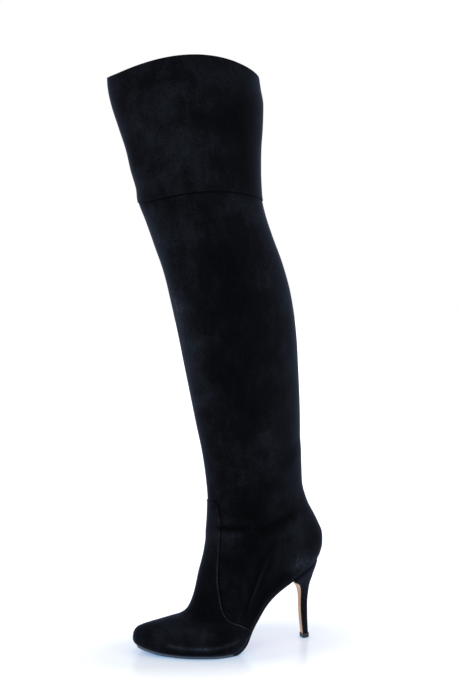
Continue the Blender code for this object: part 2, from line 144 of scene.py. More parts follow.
@dataclass
class Last:
    """The form that the boot is made over: one surface from the feather line to the collar."""

    foot_length: float = 0.2245
    ball_width: float = 0.0820
    heel_height: float = 0.1000
    heel_setback: float = 0.0204
    instep_height: float = 0.1650
    counter_height: float = 0.1380
    knee_height: float = 0.5010
    collar_height: float = 0.6350
    ankle_depth: float = 0.1120
    calf_depth: float = 0.1360
    calf_width: float = 0.0930
    thigh_depth: float = 0.1720
    thigh_width: float = 0.0930
    leg_lean: float = 0.0900
    knee_arch: float = 0.0110
    collar_arch: float = 0.0205
    sole_thickness: float = 0.0030
    gap: float = 0.0003

    # place along the foot, rise as a share of the heel's height
    seat_line: tuple = (
        (0.000, 0.080),
        (0.054, 0.044),
        (0.100, 0.016),
        (0.150, 0.002),
        (0.230, 0.000),
        (0.447, 0.000),
        (0.481, 0.013),
        (0.526, 0.088),
        (0.561, 0.232),
        (0.598, 0.355),
        (0.634, 0.470),
        (0.669, 0.553),
        (0.714, 0.632),
        (0.772, 0.714),
        (0.865, 0.835),
        (0.985, 1.000),
        (1.050, 1.090),
    )
    # place along the foot, half width, middle
    plan: tuple = (
        (0.000, 1.000, 0.066),
        (0.060, 1.000, 0.058),
        (0.120, 1.060, 0.048),
        (0.200, 1.130, -0.012),
        (0.300, 1.125, -0.068),
        (0.360, 1.080, -0.098),
        (0.450, 0.940, -0.110),
        (0.550, 0.750, -0.076),
        (0.650, 0.700, -0.052),
        (0.750, 0.745, -0.028),
        (0.850, 0.890, -0.010),
        (0.930, 1.075, 0.000),
        (1.000, 1.260, 0.000),
    )
    # front, front's rise, back, back's rise, half width, plan, arch, droop, vamp's edge in degrees
    foot_rows: tuple = (
        (0.0240, 0.0520, 0.0170, -0.004, 0.905, 1.00, 1.00, 0.000, 95.0),
        (0.0070, 0.0720, 0.0090, 0.030, 0.965, 1.00, 1.00, 0.004, 95.0),
        (0.0000, 0.0980, 0.0010, 0.080, 1.000, 1.00, 1.00, 0.020, 95.0),
        (0.0020, 0.1340, -0.0005, 0.130, 1.005, 0.98, 1.00, 0.042, 94.5),
        (0.0180, 0.1715, 0.0030, 0.192, 0.990, 0.94, 1.00, 0.060, 93.0),
        (0.0490, 0.1905, 0.0215, 0.261, 0.965, 0.87, 1.00, 0.072, 90.5),
        (0.0900, 0.2037, 0.0416, 0.326, 0.940, 0.78, 1.00, 0.079, 86.5),
        (0.1390, 0.2153, 0.0612, 0.383, 0.915, 0.68, 1.00, 0.084, 81.5),
        (0.1930, 0.2297, 0.0776, 0.431, 0.895, 0.57, 1.00, 0.087, 74.0),
        (0.2420, 0.2435, 0.0885, 0.474, 0.880, 0.46, 1.00, 0.089, 66.5),
        (0.2750, 0.2700, 0.0980, 0.518, 0.866, 0.36, 1.00, 0.094, 60.0),
        (0.2984, 0.3200, 0.1068, 0.565, 0.854, 0.27, 1.00, 0.101, 53.0),
        (0.3192, 0.4030, 0.1130, 0.623, 0.845, 0.18, 0.92, 0.104, 46.5),
        (0.3396, 0.5270, 0.1155, 0.703, 0.838, 0.09, 0.72, 0.094, 39.0),
        (0.3700, 0.6850, 0.1180, 0.790, 0.840, 0.02, 0.45, 0.070, 33.5),
        (0.3815, 0.8550, 0.1200, 0.891, 0.850, 0.00, 0.16, 0.036, 32.5),
    )
    # front's rise, back's rise, lean, depth, width, vamp's edge in degrees
    calf_rows: tuple = (
        (0.000, 0.000, 0.000, 0.808, 0.720, 25.5),
        (0.085, 0.050, 0.014, 0.821, 0.775, 26.0),
        (0.175, 0.125, 0.043, 0.848, 0.850, 31.0),
        (0.270, 0.215, 0.088, 0.889, 0.920, 38.0),
        (0.370, 0.315, 0.135, 0.928, 0.970, 47.0),
        (0.470, 0.425, 0.184, 0.966, 0.995, 57.0),
        (0.570, 0.535, 0.242, 0.992, 1.000, 66.0),
        (0.670, 0.645, 0.316, 1.006, 0.992, 73.0),
        (0.770, 0.755, 0.413, 1.001, 0.980, 79.0),
        (0.860, 0.855, 0.532, 1.002, 0.975, 84.0),
        (0.940, 0.942, 0.634, 1.013, 0.985, 87.0),
        (1.000, 1.010, 0.705, 1.037, 1.000, 89.0),
    )
    thigh_rows: tuple = (
        (0.120, 0.125, 0.726, 0.824, 1.010, 90.0),
        (0.260, 0.270, 0.762, 0.853, 1.010, 90.0),
        (0.430, 0.440, 0.791, 0.887, 1.005, 90.0),
        (0.600, 0.620, 0.824, 0.943, 0.998, 90.0),
        (0.770, 0.800, 0.863, 0.993, 0.990, 90.0),
        (0.900, 0.935, 0.902, 0.999, 0.985, 90.0),
        (1.000, 1.030, 0.920, 0.993, 0.980, 90.0),
    )
    rings: np.ndarray = field(init=False)

    def __post_init__(self) -> None:
        """Works out every ring's real sizes from the tables."""
        self.toe_x = self.heel_setback - self.foot_length
        self.ankle_x = (
            self.heel_setback - self.foot_rows[-1][2] * self.foot_length - self.ankle_depth / 2
        )
        rows = [self.foot_ring(row) for row in self.foot_rows]
        ankle = (self.instep_height, self.heel_height + self.counter_height)
        knee = (self.knee_height, self.knee_height)
        collar = (self.collar_height, self.collar_height)
        for row in self.calf_rows:
            crown = self.knee_arch * max(0.0, row[0]) ** 3
            rows.append(self.leg_ring(row, ankle, knee, self.calf_depth, self.calf_width, crown))
        for row in self.thigh_rows:
            share = row[0] / self.thigh_rows[-1][0]
            crown = self.knee_arch + (self.collar_arch - self.knee_arch) * share
            rows.append(self.leg_ring(row, knee, collar, self.thigh_depth, self.thigh_width, crown))
        self.rings = np.array(rows)
        self.ankle_ring = len(self.foot_rows)
        self.knee_ring = len(self.foot_rows) + len(self.calf_rows) - 1
        self.last_ring = len(rows) - 1

    def foot_ring(self, row: tuple) -> tuple:
        """Turns a row of the foot's table into real sizes, in the order of Ring's fields."""
        front, front_rise, back, back_rise, half, plan, arch, droop, seam = row
        return (
            self.toe_x + front * self.foot_length,
            front_rise * self.instep_height,
            self.heel_setback - back * self.foot_length,
            self.heel_height + back_rise * self.counter_height,
            half * self.ball_width / 2,
            plan,
            arch,
            droop * self.instep_height,
            0.0,
            np.radians(seam),
        )

    def leg_ring(
        self, row: tuple, bottom: tuple, top: tuple, depth: float, width: float, crown: float
    ) -> tuple:
        """Turns a row of the leg's tables into real sizes.

        Args:
            row: the row of the table.
            bottom: heights of the stretch's lower end at the front and at the back.
            top: heights of its upper end.
            depth: the stretch's depth from front to back.
            width: the stretch's width.
            crown: how far the ring's sides stand above its front and back.

        Returns:
            The ring's sizes in the order of Ring's fields.
        """
        front_rise, back_rise, lean, deep, wide, seam = row
        middle = self.ankle_x - lean * self.leg_lean
        return (
            middle - deep * depth / 2,
            bottom[0] + front_rise * (top[0] - bottom[0]),
            middle + deep * depth / 2,
            bottom[1] + back_rise * (top[1] - bottom[1]),
            wide * width / 2,
            0.0,
            0.0,
            0.0,
            crown,
            np.radians(seam),
        )

    def ring_at(self, ring: np.ndarray) -> Ring:
        """The sizes of the surface at ring numbers, which may lie between two rows."""
        numbers = np.arange(len(self.rings))
        return Ring(*(smooth_table(numbers, column, ring) for column in self.rings.T))

    def seat_height(self, x: np.ndarray) -> np.ndarray:
        """Height of the line where upper and sole meet, at a place along the foot."""
        place = (np.asarray(x) - self.toe_x) / self.foot_length
        places, rises = zip(*self.seat_line)
        base = self.sole_thickness + self.gap
        return base + smooth_table(places, rises, place) * (self.heel_height - base)

    def surface(self, ring: np.ndarray, angle: np.ndarray) -> np.ndarray:
        """Points of the boot's outer surface.

        Args:
            ring: ring numbers.
            angle: angles round the ring, 0 at the front and pi at the back.

        Returns:
            An array whose last axis is x, y, z.
        """
        ring, angle = np.broadcast_arrays(np.asarray(ring, float), np.asarray(angle, float))
        size = self.ring_at(ring)
        along = (1 - np.cos(angle)) / 2
        x = size.front_x + (size.back_x - size.front_x) * along
        places, halves, middles = zip(*self.plan)
        factor = smooth_table(places, halves, along)
        middle = smooth_table(places, middles, along) * self.ball_width
        factor = size.outline * factor + (1 - size.outline)
        y = size.outline * middle - np.sin(angle) * size.half * factor
        front, back = self.seat_height(size.front_x), self.seat_height(size.back_x)
        sag = self.seat_height(x) - (front + (back - front) * along)
        z = size.front_z + (size.back_z - size.front_z) * along + size.arch * sag
        # rises to 1 a third of the way back
        beside_vamp = 27 / 4 * along * (1 - along) ** 2
        z = z + size.crown * np.sin(angle) ** 2 - size.droop * beside_vamp
        return np.stack([x, y, z], axis=-1)

    def outward(self, ring: np.ndarray, angle: np.ndarray) -> np.ndarray:
        """Unit normals of the surface, pointing away from the leg."""
        up = self.surface(ring + SLOPE_STEP, angle) - self.surface(ring - SLOPE_STEP, angle)
        around = self.surface(ring, angle + SLOPE_STEP) - self.surface(ring, angle - SLOPE_STEP)
        normal = np.cross(around, up)
        return normal / np.maximum(np.linalg.norm(normal, axis=-1, keepdims=True), 1e-12)

    def ring_off(self, ring: float, length: float, angle: float = np.pi / 2) -> float:
        """The ring number that lies a length further up the surface, at an angle."""
        ends = self.surface(np.array([ring, ring + RISE_STEP]), angle)
        return ring + RISE_STEP * length / float(np.linalg.norm(ends[1] - ends[0]))

    def feather(self, angle: np.ndarray, margin: np.ndarray) -> np.ndarray:
        """Points beside the feather line, a margin outside it in plan, at the height of the seat."""
        point = self.surface(0.0, angle)
        along = self.surface(0.0, angle + SLOPE_STEP) - self.surface(0.0, angle - SLOPE_STEP)
        length = np.hypot(along[..., 0], along[..., 1])
        x = point[..., 0] + margin * along[..., 1] / length
        y = point[..., 1] - margin * along[..., 0] / length
        return np.stack([x, y, self.seat_height(x)], axis=-1)

    def below_seat(self, points: np.ndarray, depth: np.ndarray) -> np.ndarray:
        """Points moved down from the seat line, square to it."""
        x = points[..., 0]
        rise = self.seat_height(x + SEAT_STEP) - self.seat_height(x - SEAT_STEP)
        slope = rise / (2 * SEAT_STEP)
        down = np.stack([slope, np.zeros_like(slope), -np.ones_like(slope)], axis=-1)
        down /= np.hypot(slope, 1)[..., None]
        return points + np.asarray(depth)[..., None] * down


class Side(Enum):
    """The sides of the foot on which a crease lies, or a soft mark of brushed nap, painted light and painted
    shade.
    """

    OUTER = -1
    INNER = 1


def away_from(line: tuple, points: np.ndarray) -> tuple:
    """How far points lie from a line that is drawn on the boot as it is seen from the side.

    Args:
        line: corners as x from the heel and z above the floor, in millimetres.
        points: points in metres.

    Returns:
        Each point's distance in millimetres, and how far along the line it lies, from 0 to 1.
    """
    nearest = np.full(points.shape[:-1], np.inf)
    share = np.zeros(points.shape[:-1])
    flat = points[..., [0, 2]] / MM
    corners = np.array(line, float)
    for index, (start, end) in enumerate(zip(corners[:-1], corners[1:])):
        run = end - start
        along = np.clip((flat - start) @ run / (run @ run), 0, 1)
        away = np.linalg.norm(flat - start - along[..., None] * run, axis=-1)
        closer = away < nearest
        nearest = np.where(closer, away, nearest)
        share = np.where(closer, (index + along) / (len(corners) - 1), share)
    return nearest, share


@dataclass(frozen=True)
class NapAndLightMark:
    """A soft lighter or darker patch along a line drawn from the side: some are brush marks in the nap,
    others are painted light and painted shade.
    """

    line: tuple
    width: float
    tone: float
    side: Side = Side.OUTER
    # millimetres from the foot's middle over which the mark comes in
    start: tuple = (-2.0, 6.0)

    def shade(self, points: np.ndarray) -> np.ndarray:
        """The tone that the mark gives each point."""
        nearest, _ = away_from(self.line, points)
        here = soft_step(*self.start, points[..., 1] * self.side.value / MM)
        return self.tone * bell(nearest, 0, self.width) * here


@dataclass(frozen=True)
class Crease:
    """A soft trough where the leather has folded, with a low ridge on each side of it.

    Its line is seen from the side: x from the heel and z above the floor, in millimetres. A depth below
    zero turns it into a swelling. The ridges are measured in depths and widths of the trough.
    """

    line: tuple
    width: float
    depth: float
    side: Side = Side.OUTER
    ridge: float = 0.45
    ridge_away: float = 2.2
    ridge_width: float = 1.1
    fullness: float = 0.6

    def push(self, points: np.ndarray) -> np.ndarray:
        """How far each point moves outward, in metres."""
        nearest, share = away_from(self.line, points)
        fade = np.sin(np.pi * np.clip(share, 0.02, 0.98)) ** self.fullness
        ridge = self.ridge * bell(nearest, self.ridge_away * self.width, self.ridge_width * self.width)
        here = points[..., 1] * self.side.value > 0
        return np.where(here, (ridge - bell(nearest, 0, self.width)) * fade * self.depth * MM, 0.0)


def feed(tree: NodeTree, node: Node, links: dict) -> None:
    """Gives a node's sockets, by name or number, their values or the output sockets that feed them."""
    for key, value in links.items():
        if isinstance(value, NodeSocket):
            tree.links.new(value, node.inputs[key])
        else:
            node.inputs[key].default_value = value


def add_node(tree: NodeTree, kind: str, links: dict = None, **settings: object) -> Node:
    """Adds a node of a type, with its own settings and what its sockets are fed."""
    node = tree.nodes.new(kind)
    for key, value in settings.items():
        setattr(node, key, value)
    feed(tree, node, links or {})
    return node


def add_noise(tree: NodeTree, place: NodeSocket, size_mm: float, detail: float, **more: float) -> NodeSocket:
    """Adds cloudy noise with blots of a size."""
    values = {"Vector": place, "Scale": 1 / (size_mm * MM), "Detail": detail, **more}
    return add_node(tree, "ShaderNodeTexNoise", values).outputs["Fac"]


def add_mix(tree: NodeTree, share: float, low: NodeSocket, high: NodeSocket) -> NodeSocket:
    """Mixes two values by a fixed share."""
    return add_node(tree, "ShaderNodeMix", {0: share, 2: low, 3: high}, data_type="FLOAT").outputs[0]


def add_scaled(
    tree: NodeTree, value: NodeSocket, by: float, plus: object, **settings: object
) -> NodeSocket:
    """Multiplies a value by a number and adds another value to it."""
    links = {0: value, 1: by, 2: plus}
    return add_node(tree, "ShaderNodeMath", links, operation="MULTIPLY_ADD", **settings).outputs[0]


def add_ramp(tree: NodeTree, value: NodeSocket, stops: tuple) -> NodeSocket:
    """Colours a value with a ramp of stops, each a place and a hex colour."""
    ramp = add_node(tree, "ShaderNodeValToRGB", {0: value})
    band = ramp.color_ramp
    while len(band.elements) < len(stops):
        band.elements.new(0.5)
    for element, (place, code) in zip(band.elements, stops):
        element.position = place
        element.color = srgb(code)
    return ramp.outputs[0]


class Finish:
    """A material that fills its own node tree."""

    def material(self) -> Material:
        """Makes the material."""
        material = bpy.data.materials.new(self.name)
        material.use_nodes = True
        tree = material.node_tree
        place = add_node(tree, "ShaderNodeTexCoord").outputs["Object"]
        feed(tree, tree.nodes["Principled BSDF"], self.sockets(tree, place))
        return material


@dataclass(frozen=True)
class Suede(Finish):
    """Black calf suede, split and buffed: a short nap that lies in light and dark brush marks. The tone
    attribute adds painted light and painted shade on top of them.
    """

    name: str = "calf_suede"
    # deep, standing nap, brushed and rubbed; painted highlights in the tone attribute also reach the lighter
    # stops
    stops: tuple = ((0.30, "#020203"), (0.48, "#06070A"), (0.66, "#14171E"), (0.90, "#3C424E"))
    sheen: float = 0.27
    # what the tone attribute adds to the sheen, so painted shade also dulls it and painted light raises it
    sheen_span: float = 0.08
    sheen_tint: str = "#8C9FC8"
    tone_span: float = 0.22
    blotch_mm: float = 26.0
    stroke_mm: float = 9.0
    stroke_stretch: tuple = (1.0, 1.0, 0.45)
    stroke_share: float = 0.45
    # real nap is about 0.3 mm; drawn coarser, because that is finer than the render shows
    nap_mm: float = 1.5
    nap_share: float = 0.43

    def sockets(self, tree: NodeTree, place: NodeSocket) -> dict:
        """What feeds the shader: brush marks, nap, painted light and shade from the tone attribute, and a
        soft sheen.
        """
        stretch = add_node(tree, "ShaderNodeMapping", {"Vector": place, "Scale": self.stroke_stretch})
        blotch = add_noise(tree, place, self.blotch_mm, 3.0, Roughness=0.55)
        stroke = add_noise(tree, stretch.outputs[0], self.stroke_mm, 4.0, Roughness=0.6, Distortion=0.6)
        grain = add_noise(tree, place, self.nap_mm, 3.0, Roughness=0.7)
        marks = add_mix(tree, self.stroke_share, blotch, stroke)
        mixed = add_mix(tree, self.nap_share, marks, grain)
        # the tone attribute carries nap marks, painted highlights and painted shade
        tone = add_node(tree, "ShaderNodeAttribute", attribute_name="tone").outputs["Fac"]
        toned = add_scaled(tree, tone, self.tone_span, mixed)
        bump = add_node(tree, "ShaderNodeBump", {"Strength": 0.35, "Distance": 0.0004, "Height": mixed})
        return {
            "Base Color": add_ramp(tree, toned, self.stops),
            "Normal": bump.outputs[0],
            "Roughness": 0.92,
            "Specular IOR Level": 0.03,
            "Sheen Weight": add_scaled(tree, tone, self.sheen_span, self.sheen, use_clamp=True),
            "Sheen Roughness": 0.40,
            "Sheen Tint": srgb(self.sheen_tint),
        }


@dataclass(frozen=True)
class SmoothLeather(Finish):
    """Vegetable tanned or finished leather: fine grain, faint scuffs and a dull polish."""

    name: str
    dark: str
    light: str
    roughness: float = 0.5
    coat: float = 0.0
    grain_mm: float = 1.2
    cloud_mm: float = 14.0
    specular: float = 0.5
    # what the clouds take from the roughness and add to it
    rubbed: float = -0.08
    dulled: float = 0.1

    def sockets(self, tree: NodeTree, place: NodeSocket) -> dict:
        """What feeds the shader: cloudy colour and pored grain."""
        cloud = add_noise(tree, place, self.cloud_mm, 4.0)
        pores = {"Vector": place, "Scale": 1 / (self.grain_mm * MM)}
        grain = add_node(tree, "ShaderNodeTexVoronoi", pores, feature="F1").outputs["Distance"]
        shine = {0: cloud, 3: self.roughness + self.rubbed, 4: self.roughness + self.dulled}
        bump = add_node(tree, "ShaderNodeBump", {"Strength": 0.25, "Distance": 0.0002, "Height": grain})
        return {
            "Base Color": add_ramp(tree, cloud, ((0.35, self.dark), (0.65, self.light))),
            "Roughness": add_node(tree, "ShaderNodeMapRange", shine).outputs[0],
            "Normal": bump.outputs[0],
            "Specular IOR Level": self.specular,
            "Coat Weight": self.coat,
            "Coat Roughness": 0.25,
        }


@dataclass(frozen=True)
class FloorSheet(Finish):
    """A white glossy sheet with a painted glow that grows the further it lies from the boot, so that it is
    darker round the boot.
    """

    name: str = "white_acrylic_painted_glow"
    # warm, so that with the bluish painted glow the sheet shows white, and bluish where the boot shades it
    colour: tuple = (0.88, 0.71, 0.46, 1)
    # half lengths of the oval round the boot where the painted glow is weakest
    footprint: tuple = (0.14, 0.06)
    # where the glow starts to grow and where it is full, in ovals
    fade: tuple = (1.0, 2.3)
    near_glow: tuple = (0.05, 0.23, 0.50, 1)
    far_glow: tuple = (0.40, 0.55, 0.80, 1)

    def sockets(self, tree: NodeTree, place: NodeSocket) -> dict:
        """What feeds the shader: an even colour and the painted glow."""
        ovals = (1 / self.footprint[0], 1 / self.footprint[1], 1.0)
        spot = add_node(tree, "ShaderNodeMapping", {"Vector": place, "Scale": ovals}).outputs[0]
        away = add_node(tree, "ShaderNodeVectorMath", {0: spot}, operation="LENGTH").outputs["Value"]
        share = add_node(tree, "ShaderNodeMapRange", {0: away, 1: self.fade[0], 2: self.fade[1]})
        mix = {0: share.outputs[0], 6: self.near_glow, 7: self.far_glow}
        return {
            "Emission Color": add_node(tree, "ShaderNodeMix", mix, data_type="RGBA").outputs[2],
            "Emission Strength": 1.0,
            "Base Color": self.colour,
            "Roughness": 0.25,
            "Specular IOR Level": 0.18,
        }


@dataclass
class Shell:
    """Rows of points that run up the outside of a wall and back down its inside."""

    last: Last
    origin: Vector
    creases: tuple = ()
    nap_and_light_marks: tuple = ()
    vamp_step: float = 0.0007
    tongue_corner: float = 7.0
    # columns near the vamp's edge, in millimetres past it, and how many there are on each side of these
    seam_offsets: tuple = (-3.2, -2.0, -1.2, -0.7, -0.35, -0.12, 0.0, 0.10, 0.25, 0.5, 1.0, 1.8, 3.0)
    vamp_steps: int = 22
    quarter_steps: int = 44
    # height, millimetres past the vamp's edge, width: turned edge, stitch line and groove
    vamp_humps: tuple = ((0.00028, -0.7, 0.60), (-0.00008, -2.1, 0.45), (-0.00030, 0.45, 0.40))
    # height, place, width in millimetres: the back seam's ridge and the cut along it
    back_humps: tuple = ((0.00055, 0, 1.5), (-0.00035, 0, 0.28))
    # millimetres past the vamp's edge over which its step falls
    step_edge: tuple = (-0.10, 0.16)
    # tone of the rim's rubbed wear and painted highlight low down, what it loses higher up, and the heights
    # between which it does
    rim_wear_and_highlight_tone: float = 1.3
    rim_wear_and_highlight_loss: float = 0.9
    rim_wear_and_highlight_heights: tuple = (0.085, 0.135)
    # painted shade at the foot of the turned edge
    foot_shade_tone: float = -1.3
    # place and width in millimetres of the rim's rubbed wear and painted highlight, and of the painted shade
    # at its foot
    rim_wear_and_highlight_place: tuple = (-0.60, 0.70)
    foot_shade_place: tuple = (0.75, 0.60)

    def seam_at(self, ring: float) -> tuple:
        """The angle of the vamp's edge on a ring, and the angle of a millimetre beside it."""
        seam = float(self.last.ring_at(ring).seam)
        ends = self.last.surface(ring, np.array([seam, seam + SLOPE_STEP]))
        return seam, MM * SLOPE_STEP / np.linalg.norm(ends[1] - ends[0])

    def angles(self, ring: float) -> np.ndarray:
        """Angles of a ring's columns, from the front over the outer side and the back to the inner side."""
        seam, per_mm = self.seam_at(ring)
        near = seam + per_mm * np.array(self.seam_offsets)
        front = np.linspace(0, near[0], self.vamp_steps, endpoint=False)
        back = np.linspace(near[-1], np.pi, self.quarter_steps + 1)[1:]
        outer = np.concatenate([front, near, back])
        return np.concatenate([outer, (2 * np.pi - outer[1:-1])[::-1]])

    def past_vamp(self, ring: float, angles: np.ndarray) -> np.ndarray:
        """How far points lie outside the vamp and its tongue, in millimetres, negative inside it."""
        folded = np.where(angles > np.pi, 2 * np.pi - angles, angles)
        seam, per_mm = self.seam_at(ring)
        beside = (folded - seam) / per_mm
        top = self.tongue_ring()
        end = self.last.surface(np.array([top, ring]), 0.0)
        above = np.sign(ring - top) * np.linalg.norm(end[1] - end[0]) / MM
        radius = self.tongue_corner
        corner = np.hypot(np.maximum(beside + radius, 0), np.maximum(above + radius, 0)) - radius
        return np.where((beside > -radius) & (above > -radius), corner, np.maximum(beside, above))

    def tongue_ring(self) -> float:
        """The ring number at which the tongue ends."""
        return self.last.ankle_ring + 0.05

    def lift_of_vamp(self, past: np.ndarray) -> np.ndarray:
        """Height of the vamp's step: a turned edge that stands a little proud, and a groove beside it."""
        return self.vamp_step * (1 - soft_step(*self.step_edge, past)) + humps(self.vamp_humps, past)

    def back_seam(self, ring: float, angles: np.ndarray) -> np.ndarray:
        """Height of the raised seam down the middle of the back."""
        away = abs(angles - np.pi) * float(self.last.ring_at(ring).half) / MM
        return humps(self.back_humps, away) * soft_step(0.0, 1.5, np.full_like(away, ring))

    def tone_of_vamp(self, past: np.ndarray, height: np.ndarray) -> np.ndarray:
        """Tone of points beside the vamp's edge, by how far past it and how high they are.

        The turned edge is rubbed and carries a painted highlight, most of all low down, and its foot carries
        painted shade.
        """
        # wear on the turned edge together with its painted highlight
        rubbed = self.rim_wear_and_highlight_tone - self.rim_wear_and_highlight_loss * soft_step(*self.rim_wear_and_highlight_heights, height)
        return rubbed * bell(past, *self.rim_wear_and_highlight_place) + self.foot_shade_tone * bell(past, *self.foot_shade_place)

    def row(
        self, ring: float, distance: float = 0.0, relief: float = 0.0, vamp: bool = False, tone: float = 0.0
    ) -> np.ndarray:
        """One row of points, each with its tone: nap marks, painted light and painted shade.

        Args:
            ring: the ring number.
            distance: how far out from the last's surface the row lies, in metres.
            relief: share of the creases and seams that the row takes.
            vamp: whether the row carries the vamp's step.
            tone: what the row adds to the tone, used for painted shade along the knee seam.

        Returns:
            The row's x, y, z and tone, from the front round the outer side.
        """
        angles = self.angles(ring)
        out = np.full(angles.shape, distance)
        tones = np.full(angles.shape, tone)
        points = self.last.surface(ring, angles)
        if vamp:
            past = self.past_vamp(ring, angles)
            out += self.lift_of_vamp(past)
            tones += self.tone_of_vamp(past, points[:, 2])
        for mark in self.nap_and_light_marks:
            tones += mark.shade(points)
        if ring == 0:
            return np.column_stack([self.last.feather(angles, out), tones])
        if relief:
            out += relief * self.back_seam(ring, angles)
            for crease in self.creases:
                out += relief * crease.push(points)
        points = points + out[:, None] * self.last.outward(ring, angles)
        points[:, 2] = np.maximum(points[:, 2], self.last.seat_height(points[:, 0]))
        return np.column_stack([points, tones])

    def mesh(self, rows: list, lined_from: int) -> BMesh:
        """Wraps a closed grid round the rows, which run up the outside and back down the inside.

        Args:
            rows: the rows.
            lined_from: number of the first row that belongs to the lining.

        Returns:
            A closed mesh whose faces point out of the wall, the lining with the second material.
        """
        rows = np.array(rows)
        rows[..., :3] += np.array(self.origin)
        mesh = grid_over(rows, closed=True)
        paint_between(mesh, rows[lined_from:, :, :3], 1)
        return mesh


def grid_over(rows: np.ndarray, closed: bool = False) -> BMesh:
    """Lays a grid over rows of points whose columns run round a loop.

    Args:
        rows: points by row and column, each with its tone as an optional fourth number.
        closed: whether the last row joins the first; if not, both ends are capped.

    Returns:
        A closed mesh with its faces pointing outward.
    """
    count, columns = rows.shape[:2]
    steps = count if closed else count - 1
    mesh = bmesh.new()
    tone = mesh.verts.layers.float.new("tone")
    bmesh.ops.create_grid(mesh, x_segments=columns, y_segments=steps, size=0.5)
    for vert in mesh.verts:
        column = round((vert.co.x + 0.5) * columns) % columns
        row = round((vert.co.y + 0.5) * steps) % count
        vert.co = Vector(rows[row, column, :3])
        vert[tone] = rows[row, column, 3] if rows.shape[2] > 3 else 0.0
    bmesh.ops.remove_doubles(mesh, verts=mesh.verts, dist=2e-6)
    rim = [edge for edge in mesh.edges if edge.is_boundary]
    if rim:
        bmesh.ops.holes_fill(mesh, edges=rim, sides=0)
    bmesh.ops.recalc_face_normals(mesh, faces=mesh.faces)
    return mesh


def paint_between(mesh: BMesh, points: np.ndarray, index: int) -> None:
    """Gives the material with a number to the faces whose corners are all among some points."""
    # mesh corners are stored in single precision, so the points are rounded from it too
    single = points.astype(np.float32).astype(float)
    chosen = {tuple(np.round(point, 6)) for point in single.reshape(-1, 3)}
    for face in mesh.faces:
        if all(tuple(np.round(np.array(vert.co), 6)) in chosen for vert in face.verts):
            face.material_index = index


def make_piece(name: str, mesh: BMesh, materials: list, sharp: float = 50.0) -> Object:
    """Turns a bmesh into a piece that rides on the boot.

    Args:
        name: the piece's name.
        mesh: the bmesh, which is freed, and its count of faces logged.
        materials: the piece's materials.
        sharp: angle in degrees above which an edge is drawn sharp.

    Returns:
        The new object.
    """
    data = bpy.data.meshes.new(name)
    LOG.info("%s: %d faces", name, len(mesh.faces))
    mesh.to_mesh(data)
    mesh.free()
    data.shade_smooth()
    data.set_sharp_from_angle(angle=np.radians(sharp))
    for material in materials:
        data.materials.append(material)
    piece = bpy.data.objects.new(name, data)
    bpy.context.scene.collection.objects.link(piece)
    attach(piece, "root")
    return piece


@dataclass
class Thread:
    """Lockstitch in black thread, one small bead for each stitch that shows."""

    pitch: float = 0.0030
    length: float = 0.0023
    thickness: float = 0.00045
    sink: float = 0.00008

    def sew(self, mesh: BMesh, line: np.ndarray, normals: np.ndarray) -> None:
        """Adds stitches along a line of points on the leather, which come with its normals."""
        runs = np.linalg.norm(np.diff(line, axis=0), axis=1)
        places = np.concatenate([[0.0], np.cumsum(runs)])
        half = self.thickness / 2
        size = Matrix.Diagonal((self.length / 2, half, half, 1.0))
        for place in np.arange(self.pitch / 2, places[-1], self.pitch):
            near = place + np.array([-0.3, 0.0, 0.3]) * self.length
            before, at, after = (
                Vector([np.interp(spot, places, axis) for axis in line.T]) for spot in near
            )
            normal = Vector([np.interp(place, places, axis) for axis in normals.T]).normalized()
            along = (after - before).normalized()
            across = normal.cross(along).normalized()
            turn = Matrix((along, across, normal)).transposed().to_4x4()
            frame = Matrix.Translation(at - normal * self.sink) @ turn @ size
            bmesh.ops.create_uvsphere(mesh, u_segments=6, v_segments=5, radius=1.0, matrix=frame)


